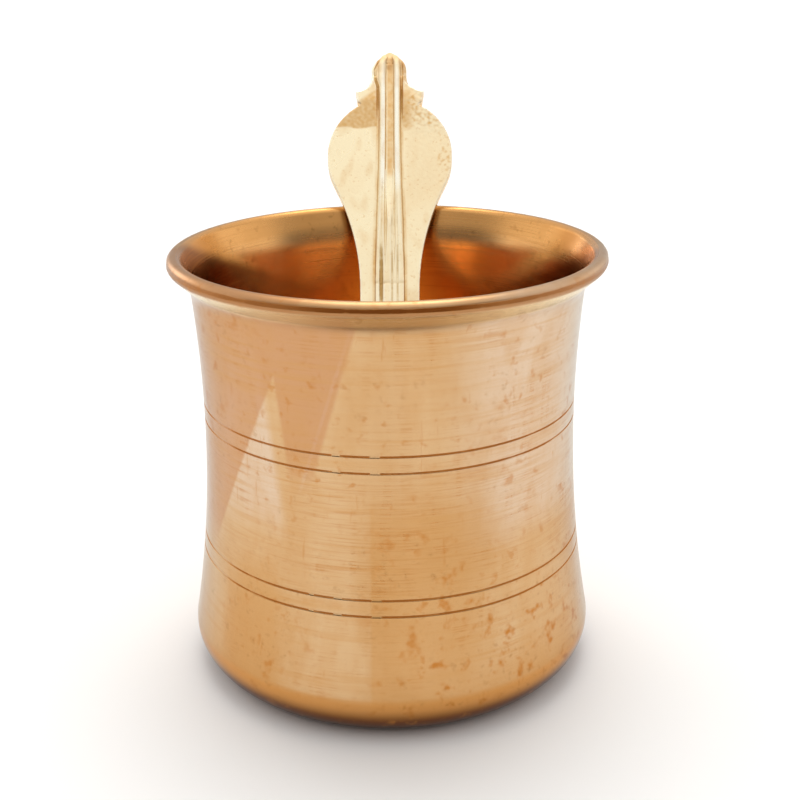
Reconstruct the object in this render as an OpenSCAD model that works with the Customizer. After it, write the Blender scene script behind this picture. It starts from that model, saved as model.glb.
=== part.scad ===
// Panchpatra: a waisted copper water cup and the brass spoon that stands in it.
// All sizes are in millimetres. The origin is the middle of the base, +Z is up,
// and the spoon leans back over the rim towards +Y.

/* [Cup] */
// Height of the cup, from the table to the top of its rim
cup_h = 76.3; // [70:0.1:84]
// Diameter across the rolled rim
rim_d = 75; // [72:0.1:80]
// Diameter at the narrowest part of the waist
waist_d = 65.7; // [61:0.1:68]
// Height of the narrowest part of the waist
waist_z = 50; // [44:0.5:55]
// Largest diameter, just above the bottom corner
belly_d = 73.7; // [71:0.1:78]
// Radius of the rounded bottom corner
corner_r = 7.7; // [5:0.1:9]
// Thickness of the copper sheet
sheet_t = 0.7; // [0.5:0.05:0.9]

/* [Rim] */
// Diameter of the rolled edge
roll_d = 2.7; // [2.4:0.1:3.2]
// Depth below the rim of the wall's upper end
neck_drop = 6.5; // [5.5:0.1:8]
// How far the wall's upper end stands in from the middle of the rolled edge
neck_in = 2.4; // [1.8:0.1:3]
// Radius of the hollow sweep between the wall and the rolled edge
sweep_r = 4.2; // [3:0.1:5]
// Lean of the flare's underside, in degrees from upright
flare_lean = 48; // [40:1:54]
// Depth below the rim of the bend inside the mouth
bend_drop = 4.8; // [4:0.1:6]
// Width of the seam where the rolled edge closes on the wall
seam_w = 0.2; // [0.1:0.05:0.3]
// Room left round the wire inside the rolled edge
wire_fit = 0.05; // [0.02:0.01:0.1]

/* [Engraved lines] */
// Height of the middle of the upper pair of lines
upper_pair_z = 49.2; // [40:0.1:56]
// Height of the middle of the lower pair of lines
lower_pair_z = 24.7; // [18:0.1:34]
// Distance between the two lines of a pair
pair_gap = 2.8; // [1.5:0.1:4]
// Width of an engraved line
line_w = 0.45; // [0.3:0.05:0.7]
// Depth of an engraved line
line_depth = 0.2; // [0.1:0.05:0.3]

/* [Spoon] */
// Length of the spoon, from the toe of its bowl to the tip of its handle
spoon_l = 128.7; // [116:0.1:142]
// Distance of the bowl's centre in front of the cup's axis
bowl_forward = 21.2; // [18:0.1:23]
// Gap that is left where the spoon rests on the cup
rest_gap = 0.3; // [0.2:0.05:0.4]

/* [Spoon handle] */
// Thickness of the flat casting
plate_t = 1.8; // [1.4:0.1:2.4]
// Width of the stem where the shoulders end
stem_w = 11.4; // [10:0.1:13]
// Width of the handle's lower end
tail_w = 9; // [8:0.1:10]
// Width across the hood
hood_w = 24.4; // [21:0.1:28]
// Distance from the tip of the handle to the middle of the hood's round top
hood_drop = 23; // [21:0.1:25]
// Length of the straight side below the hood's round top
hood_straight = 1.1; // [0.5:0.1:3]
// Length of the shoulders that run from the hood into the stem
shoulder_l = 27.9; // [22:0.1:34]
// Width across the two ears above the hood
ear_w = 13.6; // [12:0.1:15]
// Distance from the tip of the handle to the top of the ears
ear_drop = 9.3; // [8.5:0.1:10]
// Height of an ear at its tip
ear_h = 3.1; // [2.5:0.1:3.6]
// How far an ear's outer edge slants in towards its foot
ear_slant = 0.5; // [0.2:0.1:0.8]
// Radius of the sweep from the finial out to the ears
ear_sweep_r = 3.5; // [2.5:0.1:4]
// Radius of the nick between an ear and the hood
nick_r = 0.5; // [0.3:0.1:0.7]
// Width of the round finial at the tip
finial_w = 6.7; // [5.8:0.1:7.6]
// Height of the finial's crown above the back of the handle
finial_h = 2.1; // [1.9:0.1:2.4]
// Height of the finial's upright side, below its crown
finial_side = 1.2; // [0.8:0.1:1.6]

/* [Spoon rib] */
// Width across the rib that runs down the middle of the handle
rib_w = 5; // [4.4:0.1:5.6]
// Height of the rib's round reeds above the plate
rib_h = 1; // [0.8:0.1:1.1]
// Width of each of the two side reeds
reed_w = 1.7; // [1.4:0.1:1.9]
// Margin between the ends of the reeds and the finial's edge
reed_margin = 0.2; // [0.1:0.05:0.5]
// Length of the reeds, measured down from the tip
rib_l = 50.5; // [44:0.5:60]
// Length of the open channel between the side reeds, measured down from the tip
channel_l = 27; // [22:0.5:32]
// Height of the channel's floor above the plate
channel_h = 0.4; // [0.3:0.05:0.5]
// Height of the low spine that carries on below the reeds
spine_h = 0.5; // [0.3:0.1:0.8]
// Bare length of handle between the spine's foot and the bowl
spine_foot = 18; // [16:0.5:24]

/* [Spoon bowl] */
// Inside diameter of the bowl at its edge
bowl_d = 26; // [22:0.1:28]
// Inside depth of the bowl
bowl_depth = 8; // [7:0.1:9]
// Thickness of the bowl's sheet
bowl_t = 0.8; // [0.6:0.05:1.1]
// Width of the tab behind the handle
tab_w = 7.6; // [7:0.1:8]
// Length of the tab beyond the bowl's edge
tab_l = 13.5; // [12.5:0.1:15]
// Ledge of bowl edge that the handle's end leaves bare
edge_ledge = 0.4; // [0.2:0.1:0.7]

/* [Rivets] */
// Diameter of a rivet's shank
rivet_d = 2.4; // [2:0.1:2.8]
// Diameter of a rivet's head
rivet_head_d = 4.2; // [3.6:0.1:4.8]
// Height of a rivet's head
rivet_head_h = 1; // [0.7:0.1:1.3]
// Distance from the bowl's edge to the first rivet
rivet_first = 4; // [3.6:0.1:4.4]
// Distance between the two rivets
rivet_pitch = 6; // [5.2:0.1:6.6]
// Room left round a rivet's shank
rivet_fit = 0.05; // [0.02:0.01:0.1]

/* [Hidden] */
$fn = 96;
// Segments of the large circles whose arcs form the wall and the handle's shoulders
large_fn = 720;
COPPER = "#d6935c";
WIRE_STEEL = "#8a8d90";
BRASS = "#ead6a4";
BRASS_BOWL = "#e2c684";
// Overshoot of a cut beyond the solid that it opens
over = 1;
// Depth by which arcs that meet smoothly run into each other, so that they join in one clean line
blend = 0.005;

// Rolled rim: its centre, and the wire's place in it
roll_r = roll_d / 2;
roll_reach = roll_r - blend;
roll_centre = [rim_d / 2 - roll_r, cup_h - roll_r];
core_r = roll_r - sheet_t;

// Bottom corner: the centre of its arc, where the flat base ends
belly_r = belly_d / 2;
flat_r = belly_r - corner_r;
corner_centre = [flat_r, corner_r];
corner_reach = corner_r - blend;

// Cup wall: one large arc through the waist and the wall's upper end that touches the corner's arc.
// The arc's radius is positive where the wall bows in and negative where it bows out.
waist = [waist_d / 2, waist_z];
wall_top = [roll_centre.x - neck_in, cup_h - neck_drop];
wall_run = wall_top - waist;
wall_half = norm(wall_run) / 2;
wall_normal = [wall_run.y, -wall_run.x] / norm(wall_run);
wall_mid = (waist + wall_top) / 2;
mid_from_corner = wall_mid - corner_centre;
corner_across = mid_from_corner * wall_normal;
corner_power = (mid_from_corner * mid_from_corner - wall_half ^ 2 - corner_reach ^ 2) / 2;
across_rest = corner_across ^ 2 - corner_reach ^ 2;
wall_root = corner_reach * sqrt(corner_power ^ 2 + wall_half ^ 2 * across_rest);
centre_off = -(corner_power * corner_across + wall_root) / across_rest;
bow = sign(centre_off);
wall_arc = bow * norm([centre_off, wall_half]);
wall_centre = wall_mid + centre_off * wall_normal;
corner_dir = bow * (wall_centre - corner_centre) / norm(wall_centre - corner_centre);
function wall_r(z, inset) = wall_centre.x - bow * sqrt((wall_arc + inset) ^ 2 - (z - wall_centre.y) ^ 2);

// Sweep under the rim: a circle that touches the flare's straight underside and the wall's arc
flare_dir = [sin(flare_lean), cos(flare_lean)];
flare_normal = [-cos(flare_lean), sin(flare_lean)];
sweep_line = roll_centre - (roll_reach + sweep_r) * flare_normal;
sweep_from = sweep_line - wall_centre;
sweep_half = sweep_from * flare_dir;
sweep_rest = sweep_from * sweep_from - (wall_arc - sweep_r) ^ 2;
sweep_centre = sweep_line - (sweep_half + bow * sqrt(sweep_half ^ 2 - sweep_rest)) * flare_dir;
flare_foot = sweep_centre + sweep_r * flare_normal;
flare_top = roll_centre - roll_reach * flare_normal;
neck_dir = (sweep_centre - wall_centre) / norm(sweep_centre - wall_centre);
neck = wall_centre + abs(wall_arc) * neck_dir;

// Inside of the mouth: a straight flare from the bend, touching the rolled edge
bend = [wall_r(cup_h - bend_drop, sheet_t), cup_h - bend_drop];
bend_to_roll = roll_centre - bend;
mouth_lean = atan2(bend_to_roll.x, bend_to_roll.y) - asin(roll_reach / norm(bend_to_roll));
mouth_dir = [sin(mouth_lean), cos(mouth_lean)];
mouth_top = roll_centre + roll_reach * [-mouth_dir.y, mouth_dir.x];

// Spoon bowl: a cap of a sphere below the plane of the handle's back
bowl_r = bowl_d / 2;
cap_r = (bowl_r ^ 2 + bowl_depth ^ 2) / (2 * bowl_depth);
cap_rise = cap_r - bowl_depth;
cap_outer_r = cap_r + bowl_t;
bowl_edge_r = sqrt(cap_outer_r ^ 2 - cap_rise ^ 2);

// Places along the handle, from the bowl's centre
tip_y = spoon_l - bowl_edge_r;
finial_y = tip_y - finial_w / 2;
ear_y = tip_y - ear_drop;
hood_y = tip_y - hood_drop;
hood_low_y = hood_y - hood_straight;
shoulder_y = hood_low_y - shoulder_l;
tail_y = bowl_edge_r - edge_ledge;
rib_foot_y = tip_y - rib_l;
channel_foot_y = tip_y - channel_l;
spine_foot_y = bowl_edge_r + spine_foot;
lower_rivet_y = bowl_edge_r + rivet_first;
upper_rivet_y = lower_rivet_y + rivet_pitch;
rivet_ys = [lower_rivet_y, upper_rivet_y];

// Shoulders: an arc that touches the stem's side and the hood's circle
stem_half = stem_w / 2;
hood_r = hood_w / 2;
shoulder_r = (shoulder_l ^ 2 + stem_half ^ 2 - hood_r ^ 2) / (2 * (hood_r - stem_half));
shoulder_turn = atan2(shoulder_l, stem_half + shoulder_r);
touch = [hood_r * cos(shoulder_turn), hood_low_y - hood_r * sin(shoulder_turn)];
function handle_half(y) = y < shoulder_y ? stem_half
    : y > touch.y ? hood_r
    : stem_half + shoulder_r - sqrt(shoulder_r ^ 2 - (y - shoulder_y) ^ 2);

// Rest: the bowl's sphere stands on the floor and the handle's edges lie on the rolled rim
cap_z = sheet_t + rest_gap + cap_outer_r;
rest_reach = cap_rise + roll_r + rest_gap;
function rim_from_bowl(half) = [sqrt(roll_centre.x ^ 2 - half ^ 2) + bowl_forward, roll_centre.y - cap_z];
function lean_for(v) = acos(rest_reach / norm(v)) - atan2(v.y, v.x);
function rim_y_for(v) = sqrt(norm(v) ^ 2 - rest_reach ^ 2);
function rest_half(tries) = tries == 0 ? stem_half
    : handle_half(rim_y_for(rim_from_bowl(rest_half(tries - 1))));
spoon_lean = lean_for(rim_from_bowl(rest_half(5)));
spoon_origin = [0, -bowl_forward + cap_rise * cos(spoon_lean), cap_z - cap_rise * sin(spoon_lean)];

// Keeps the part of an area that lies on the axis side of the wall's arc, set in by the inset
module inside_wall(inset) {
    arc_r = wall_arc + inset;
    if (bow > 0)
        difference() {
            children();
            translate(wall_centre) circle(r = arc_r, $fn = large_fn);
        }
    else
        intersection() {
            children();
            translate(wall_centre) circle(r = -arc_r, $fn = large_fn);
        }
}

// Filled outline of floor, corner and wall, set in by the inset, up to the height top_z
module body_outline(inset, top_z) {
    foot = corner_centre + (corner_reach - inset) * corner_dir;
    translate([0, inset]) square([flat_r, foot.y - inset]);
    translate(corner_centre) circle(r = corner_r - inset);
    inside_wall(inset)
        polygon([[0, corner_r], corner_centre, foot, [rim_d, foot.y], [rim_d, top_z], [0, top_z]]);
}

// Filled outline of the cup, from its axis to its outer face
module cup_outer_outline() {
    difference() {
        union() {
            body_outline(0, roll_centre.y);
            polygon([[0, neck.y], neck, sweep_centre, flare_foot, flare_top, roll_centre,
                mouth_top, [0, mouth_top.y]]);
            translate(roll_centre) circle(r = roll_r);
        }
        translate(sweep_centre) circle(r = sweep_r + blend);
    }
}

// Filled outline of the hollow inside the cup, open at the top
module cup_inner_outline() {
    mouth_foot = bend - (bend.y - waist_z) / mouth_dir.y * mouth_dir;
    mouth_end = mouth_top + roll_d * mouth_dir;
    body_outline(sheet_t, cup_h);
    polygon([[0, mouth_foot.y], mouth_foot, mouth_end, [0, mouth_end.y]]);
}

// Seam that opens the rolled edge's core to the sweep below it
module roll_seam_outline() {
    seam_dir = sweep_centre - roll_centre;
    translate(roll_centre)
        rotate(atan2(seam_dir.y, seam_dir.x))
        translate([0, -seam_w / 2])
        square([norm(seam_dir), seam_w]);
}

// Round-bottomed cut of one engraved line
module engraved_line_outline(z) {
    cut_r = (line_w ^ 2 / 4 + line_depth ^ 2) / (2 * line_depth);
    translate([wall_r(z, 0) + cut_r - line_depth, z]) circle(r = cut_r);
}

// Copper cup: floor, waisted wall, flared mouth and rolled edge in one sheet
module cup_shell() {
    color(COPPER)
    rotate_extrude()
    difference() {
        cup_outer_outline();
        cup_inner_outline();
        translate(roll_centre) circle(r = core_r);
        roll_seam_outline();
        for (pair_z = [upper_pair_z, lower_pair_z])
            for (side = [-1, 1])
                engraved_line_outline(pair_z + side * pair_gap / 2);
    }
}

// Wire that the rim is rolled over
module rim_wire() {
    color(WIRE_STEEL)
    rotate_extrude()
    translate(roll_centre)
    circle(r = core_r - wire_fit);
}

// Places a piece drawn flat, handle along +Y and face up, into the cup
module stand_in_cup() {
    translate(spoon_origin)
    rotate([90 - spoon_lean, 0, 0])
    children();
}

// Outline of the two ears and the sweep that carries them out from the finial
module ears_outline() {
    ear_foot_y = ear_y - ear_h;
    foot_half = ear_w / 2 - ear_slant;
    top_y = ear_y + ear_sweep_r;
    top_half = foot_half + ear_slant * (top_y - ear_foot_y) / ear_h;
    difference() {
        polygon([[-foot_half, ear_foot_y], [foot_half, ear_foot_y], [top_half, top_y], [-top_half, top_y]]);
        for (side = [-1, 1]) {
            translate([side * (finial_w / 2 + ear_sweep_r), top_y]) circle(r = ear_sweep_r);
            translate([side * foot_half, ear_foot_y]) circle(r = nick_r);
        }
    }
}

// Outline of the flat casting, seen from the front
module handle_outline() {
    tail_half = tail_w / 2;
    tail_mid_y = tail_y + tail_half;
    translate([0, tail_mid_y]) circle(r = tail_half);
    polygon([[-tail_half, tail_mid_y], [tail_half, tail_mid_y],
        [stem_half, shoulder_y], [-stem_half, shoulder_y]]);
    difference() {
        translate([-touch.x, shoulder_y]) square([2 * touch.x, touch.y - shoulder_y]);
        for (side = [-1, 1])
            translate([side * (stem_half + shoulder_r), shoulder_y]) circle(r = shoulder_r, $fn = large_fn);
    }
    translate([-touch.x, touch.y]) square([2 * touch.x, hood_low_y - touch.y]);
    translate([0, hood_low_y]) circle(r = hood_r);
    translate([-hood_r, hood_low_y]) square([hood_w, hood_straight]);
    translate([0, hood_y]) circle(r = hood_r);
    ears_outline();
}

// Finial at the tip: a bar with a round end, upright sides and a crowned face
module finial() {
    crown = finial_h - finial_side;
    crown_r = (finial_w ^ 2 / 4 + crown ^ 2) / (2 * crown);
    bar_l = finial_y - hood_y;
    intersection() {
        translate([0, hood_y, 0])
        linear_extrude(finial_h + over) {
            translate([-finial_w / 2, 0]) square([finial_w, bar_l]);
            translate([0, bar_l]) circle(d = finial_w);
        }
        translate([0, hood_y, finial_h - crown_r])
        union() {
            rotate([-90, 0, 0]) cylinder(r = crown_r, h = bar_l);
            translate([0, bar_l, 0]) sphere(r = crown_r);
        }
    }
}

// Round reed of radius r that lies on the handle, with a round upper end at top_y
module reed(r, x, top_y) {
    translate([x, 0, plate_t + rib_h - r]) {
        translate([0, rib_foot_y, 0]) rotate([-90, 0, 0]) cylinder(r = r, h = top_y - rib_foot_y);
        translate([0, top_y, 0]) sphere(r = r);
    }
}

// Rib: two side reeds up to the tip, a middle reed below the channel, and a low spine under them all
module rib() {
    side_r = reed_w / 2;
    side_x = rib_w / 2 - side_r;
    side_top_y = finial_y + sqrt((finial_w / 2 - side_r - reed_margin) ^ 2 - side_x ^ 2);
    middle_r = side_x - side_r;
    for (side = [-1, 1])
        reed(side_r, side * side_x, side_top_y);
    reed(middle_r, 0, channel_foot_y);
    translate([-side_x, rib_foot_y, plate_t / 2])
        cube([2 * side_x, finial_y - rib_foot_y, plate_t / 2 + channel_h]);
    translate([-rib_w / 2, spine_foot_y, plate_t / 2])
        cube([rib_w, rib_foot_y - spine_foot_y + side_r, plate_t / 2 + spine_h]);
}

// Cast brass handle with its hood, ears, finial and reeded rib
module spoon_handle() {
    color(BRASS)
    stand_in_cup()
    difference() {
        union() {
            linear_extrude(plate_t) handle_outline();
            finial();
            rib();
        }
        for (y = rivet_ys)
            translate([0, y, -over]) cylinder(d = rivet_d + 2 * rivet_fit, h = plate_t + 2 * over);
    }
}

// Raised brass bowl with the tab that lies behind the handle's end
module spoon_bowl() {
    tab_end_y = bowl_edge_r + tab_l - tab_w / 2;
    color(BRASS_BOWL)
    stand_in_cup()
    difference() {
        union() {
            intersection() {
                translate([0, 0, cap_rise]) sphere(r = cap_outer_r);
                translate([0, 0, -cap_outer_r]) cylinder(r = cap_outer_r, h = cap_outer_r);
            }
            translate([-tab_w / 2, 0, -bowl_t]) cube([tab_w, tab_end_y, bowl_t]);
            translate([0, tab_end_y, -bowl_t]) cylinder(d = tab_w, h = bowl_t);
        }
        translate([0, 0, cap_rise]) sphere(r = cap_r);
        for (y = rivet_ys)
            translate([0, y, -bowl_t - over]) cylinder(d = rivet_d + 2 * rivet_fit, h = bowl_t + 2 * over);
    }
}

// One domed rivet head that sits on z = 0 and rises along +Z
module rivet_head() {
    dome_r = (rivet_head_d ^ 2 / 4 + rivet_head_h ^ 2) / (2 * rivet_head_h);
    intersection() {
        translate([0, 0, rivet_head_h - dome_r]) sphere(r = dome_r);
        cylinder(d = rivet_head_d + over, h = rivet_head_h + over);
    }
}

// Brass rivet that holds the bowl's tab to the handle's end, at a distance y from the bowl's centre
module rivet(y) {
    color(BRASS)
    stand_in_cup()
    translate([0, y, 0]) {
        translate([0, 0, -bowl_t]) cylinder(d = rivet_d, h = bowl_t + plate_t);
        translate([0, 0, plate_t]) rivet_head();
        translate([0, 0, -bowl_t]) mirror([0, 0, 1]) rivet_head();
    }
}

// Rivet next to the bowl's edge
module lower_rivet() {
    rivet(lower_rivet_y);
}

// Rivet next to the tab's end
module upper_rivet() {
    rivet(upper_rivet_y);
}

cup_shell();
rim_wire();
spoon_handle();
spoon_bowl();
lower_rivet();
upper_rivet();
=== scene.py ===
# %% [markdown]
# # A copper panchpatra and its brass spoon
#
# A panchpatra is the small water cup of a home shrine, and the spoon that stands in it serves the water
# drop by drop. The cup is one sheet of copper, spun on a lathe and rolled over a wire at its rim. The spoon
# is a cast handle with a raised bowl riveted behind it. The CAD part is loaded first, because it fixes
# where every piece is, and this lesson then gives each piece the surface that a maker would leave on it.

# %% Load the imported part
import math

import bpy
import numpy as np
from mathutils import Matrix, Vector, noise


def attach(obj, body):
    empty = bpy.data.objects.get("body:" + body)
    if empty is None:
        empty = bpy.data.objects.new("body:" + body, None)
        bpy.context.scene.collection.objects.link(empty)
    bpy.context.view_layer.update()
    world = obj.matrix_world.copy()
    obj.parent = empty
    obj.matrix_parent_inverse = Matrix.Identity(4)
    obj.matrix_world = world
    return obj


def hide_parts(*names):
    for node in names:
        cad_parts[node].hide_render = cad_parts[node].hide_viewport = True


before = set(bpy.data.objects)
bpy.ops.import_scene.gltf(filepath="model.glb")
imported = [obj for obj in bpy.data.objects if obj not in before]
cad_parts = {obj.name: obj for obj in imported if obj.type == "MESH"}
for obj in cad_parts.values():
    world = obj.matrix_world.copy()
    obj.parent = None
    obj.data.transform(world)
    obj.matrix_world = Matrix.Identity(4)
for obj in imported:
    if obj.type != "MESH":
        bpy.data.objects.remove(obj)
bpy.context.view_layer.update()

scene = bpy.context.scene

# %% [markdown]
# ## The cup's profile
#
# A spun cup is round everywhere, so its whole shape lies in one line: the half section from the middle of
# the base, up the outside, over the rim and down the inside. That line could be drawn as a Bezier curve,
# but here it is worked out from arcs, since the real tools leave arcs: a rounded corner, one long hollow
# wall, a small sweep under the rim and the roll itself. All sizes are in millimetres.

# %% Arcs of the profile
MM = 0.001
SHEET = 0.7
CORNER_CENTRE = (29.15, 7.7)
CORNER_RADIUS = 7.7
CORNER_TURN = 10.79
WALL_CENTRE = (251.096, 50.0)
WALL_RADIUS = 218.246
SWEEP_CENTRE = (37.901, 69.065)
SWEEP_RADIUS = 4.2
NECK_TURN = 174.89
FLARE_TURN = 132.0
ROLL_CENTRE = (36.14, 74.95)
ROLL_RADIUS = 1.34
CORE_RADIUS = 0.65
SEAM_TURN = -73.43
SEAM_WIDTH = 0.012
MOUTH_TURN = 156.8
MOUTH_BEND = (33.208, 71.5)


def on_circle(centre, radius, turn):
    """The point of a circle at a turn in degrees."""
    angle = math.radians(turn)
    return (centre[0] + radius * math.cos(angle), centre[1] + radius * math.sin(angle))


def arc(centre, radius, start, end, steps):
    """Points along a circle, from one turn to another."""
    return [on_circle(centre, radius, turn) for turn in np.linspace(start, end, steps)]


def between(start, end, share):
    """The point at a share of the way from one point to another."""
    return tuple(a + share * (b - a) for a, b in zip(start, end))


def straight(start, end, steps):
    """Points along a straight line, without its first point."""
    return [between(start, end, share) for share in np.linspace(0, 1, steps + 1)[1:]]


def bent(start, corner, end, steps):
    """Points of a soft bend that replaces a corner, without its first point."""
    shares = np.linspace(0, 1, steps + 1)[1:]
    return [between(between(start, corner, s), between(corner, end, s), s) for s in shares]


def wall_radius(height, inset=0.0):
    """Distance of the wall from the cup's axis at a height."""
    rise = height - WALL_CENTRE[1]
    return WALL_CENTRE[0] - math.sqrt((WALL_RADIUS + inset) ** 2 - rise ** 2)


print("waist across:", round(2 * wall_radius(50.0), 2), "mm")

# %% [markdown]
# ## The engraved lines
#
# Two pairs of lines run round the wall, where a pointed tool was held against the turning copper. They
# could be a bump in the material, but real grooves catch the light on one side and hold dirt on the other,
# so they are cut into the profile. The depth of each cut is also kept as a weight, to darken it later.

# %% Cut the grooves into the wall
LINE_HEIGHTS = (23.3, 26.1, 47.8, 50.6)
LINE_WIDTH = 0.46
LINE_DEPTH = 0.06
LINE_STEPS = 21
WALL_STEPS = 64


def cut(share):
    """The depth of a round cut, from 1 in its middle to 0 at a share of 1."""
    return (1 - share * share) ** 1.5 if share < 1 else 0.0


def groove_depth(height):
    """How deep the tool has cut at a height of the wall."""
    return LINE_DEPTH * max(cut(abs(height - line) / (0.5 * LINE_WIDTH)) for line in LINE_HEIGHTS)


wall_foot = CORNER_CENTRE[1] + CORNER_RADIUS * math.sin(math.radians(CORNER_TURN))
neck = on_circle(SWEEP_CENTRE, SWEEP_RADIUS, NECK_TURN)
heights = set(np.linspace(wall_foot, neck[1], WALL_STEPS))
for line in LINE_HEIGHTS:
    heights = {h for h in heights if abs(h - line) > 0.7 * LINE_WIDTH}
    heights |= set(np.linspace(line - 0.6 * LINE_WIDTH, line + 0.6 * LINE_WIDTH, LINE_STEPS))
wall_line = [(wall_radius(h) - groove_depth(h), h) for h in sorted(heights)]
print("points up the wall:", len(wall_line))

# %% [markdown]
# ## One closed line for the whole sheet
#
# The outside runs from the base to the rolled edge, slips through the narrow seam where the roll closes on
# the wall, goes round the hollow that holds the wire, and comes out again to turn over the rim. The inside
# goes back down to the floor. A fine line on the front of the roll is cut like the grooves. Each stretch
# carries a tag, so that the outside and the inside can be given different finishes.

# %% Join the stretches
ROLL_FROM = -48.0
RIM_LINE_TURN = 8.0
RIM_LINE_HALF = 18.0
RIM_LINE_DEPTH = 0.1
POLISHED_TURN = 105.0
BEND_SHARE = 0.5
BEND_DROP = 2.4
SEAM_SHARE = 0.66
seam_half = math.degrees(math.asin(SEAM_WIDTH / 2 / CORE_RADIUS))
flare_foot = on_circle(SWEEP_CENTRE, SWEEP_RADIUS, FLARE_TURN)
flare_top = on_circle(ROLL_CENTRE, ROLL_RADIUS, ROLL_FROM)
seam_step = 0.5 * SEAM_WIDTH / math.dist(flare_foot, flare_top)


def by_seam(steps):
    """A point of the flare's underside, some small steps from the seam."""
    return between(flare_foot, flare_top, SEAM_SHARE + steps * seam_step)


def rim_line(turn):
    """How deep the line on the front of the roll is at a turn, 0 to 1."""
    return cut(abs(turn - RIM_LINE_TURN) / RIM_LINE_HALF)


outside = [(r, 0.0) for r in np.linspace(0, CORNER_CENTRE[0], 14)]
outside += arc(CORNER_CENTRE, CORNER_RADIUS, -90, CORNER_TURN, 30)[1:]
outside += wall_line[1:]
outside += arc(SWEEP_CENTRE, SWEEP_RADIUS, NECK_TURN, FLARE_TURN, 18)[1:]
outside += straight(flare_foot, by_seam(-4), 5) + [by_seam(-1)]
seam = arc(ROLL_CENTRE, CORE_RADIUS, SEAM_TURN - seam_half, SEAM_TURN + seam_half - 360, 33)
underside = [by_seam(1), by_seam(4)] + straight(by_seam(4), flare_top, 2)
roll_turns = np.linspace(ROLL_FROM, MOUTH_TURN, 64)[1:]
roll = [on_circle(ROLL_CENTRE, ROLL_RADIUS - RIM_LINE_DEPTH * rim_line(t), t) for t in roll_turns]
bend_start = between(MOUTH_BEND, roll[-1], BEND_SHARE)
bend_end = (wall_radius(MOUTH_BEND[1] - BEND_DROP, SHEET), MOUTH_BEND[1] - BEND_DROP)
inside = straight(roll[-1], bend_start, 5) + bent(bend_start, MOUTH_BEND, bend_end, 10)
inside_foot = CORNER_CENTRE[1] + (CORNER_RADIUS - SHEET) * math.sin(math.radians(CORNER_TURN))
inside += [(wall_radius(h, SHEET), h) for h in np.linspace(bend_end[1], inside_foot, 48)[1:]]
inside += arc(CORNER_CENTRE, CORNER_RADIUS - SHEET, CORNER_TURN, -90, 26)[1:]
inside += [(r, SHEET) for r in np.linspace(CORNER_CENTRE[0], 0, 14)[1:]]

profile = outside + seam + underside + roll + inside
tags = ["outside"] * len(outside) + ["seam"] * len(seam) + ["outside"] * len(underside)
tags += ["inside" if turn > POLISHED_TURN else "outside" for turn in roll_turns]
tags += ["inside"] * len(inside)
print("points in the profile:", len(profile))

# %% [markdown]
# ## Spinning the cup
#
# Blender has a Screw modifier and a Spin operator for turned shapes. Here the rings are made directly, so
# that every point knows its place on the profile. A spun sheet is never perfectly true: the wall is moved
# inwards by a few hundredths of a millimetre, which bends the reflections as real copper does. Each point
# also keeps a crevice weight from 0 to 1. In the engraving and the seam it says how much old polish and
# dirt it holds; on the front of the roll it marks the line that is darkened as painted shade.

# %% Make the cup's mesh
TURNS = 320
WAVER = 0.05
WAVER_SCALE = 0.045
WAVER_FADE = 12
WAVER_TOP = 74


def crevice_weight(index):
    """How much a point of the profile lies in a crevice."""
    r, z = profile[index]
    if tags[index] == "seam":
        return 1.0
    if tags[index] == "outside" and 9 < z < 66:
        return groove_depth(z) / LINE_DEPTH
    # On the front of the roll the weight marks the line that the outside copper darkens as painted shade.
    if tags[index] == "outside" and r > ROLL_CENTRE[0]:
        return rim_line(math.degrees(math.atan2(z - ROLL_CENTRE[1], r - ROLL_CENTRE[0])))
    return 0.0


def waver(r, z, angle):
    """Uneven drawing-in of the sheet at one point, in millimetres."""
    free = min(1.0, z / WAVER_FADE) * min(1.0, max(0.0, (WAVER_TOP - z) / WAVER_FADE))
    place = Vector((r * math.cos(angle), r * math.sin(angle), 1.7 * z)) * WAVER_SCALE
    return -WAVER * free * (0.5 + 0.5 * noise.noise(place))


def spin(name, line, turns):
    """A lathe form from a line whose ends lie on the axis, its rings, and each face's place on the line."""
    points, faces, rings, face_line = [], [], [], []
    for r, z in line:
        if r < 1e-9:
            rings.append([len(points)])
            points.append((0.0, 0.0, z * MM))
            continue
        rings.append(list(range(len(points), len(points) + turns)))
        for step in range(turns):
            angle = 2 * math.pi * step / turns
            moved = r + waver(r, z, angle)
            points.append((moved * math.cos(angle) * MM, moved * math.sin(angle) * MM, z * MM))
    for index, (low, high) in enumerate(zip(rings, rings[1:])):
        for step in range(turns):
            after = (step + 1) % turns
            if len(low) == 1:
                faces.append((low[0], high[after], high[step]))
            elif len(high) == 1:
                faces.append((low[step], low[after], high[0]))
            else:
                faces.append((low[step], low[after], high[after], high[step]))
            face_line.append(index)
    mesh = bpy.data.meshes.new(name)
    mesh.from_pydata(points, [], faces)
    mesh.shade_smooth()
    piece = bpy.data.objects.new(name, mesh)
    scene.collection.objects.link(piece)
    return piece, rings, face_line


def keep_weight(piece, name, values):
    """Stores a number for each point of a mesh."""
    kept = piece.data.attributes.get(name) or piece.data.attributes.new(name, "FLOAT", "POINT")
    kept.data.foreach_set("value", values)


cup, cup_rings, cup_face_line = spin("copper_cup", profile, TURNS)
weights = np.zeros(len(cup.data.vertices))
for index, ring in enumerate(cup_rings):
    weights[ring] = crevice_weight(index)
keep_weight(cup, "crevice", weights)
cup.data.polygons.foreach_set("material_index", [int(tags[i + 1] == "inside") for i in cup_face_line])
print("faces of the cup:", len(cup.data.polygons))

# %% [markdown]
# ## Recasting the spoon
#
# The CAD spoon has knife-sharp edges, but a casting comes out of the sand with soft ones. A bevel on every
# edge would be one way. Here each piece is copied, laid flat with its handle along Y and its face up,
# rebuilt from small voxels and smoothed, as if it had been cast again: every edge turns into a small round.

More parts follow.
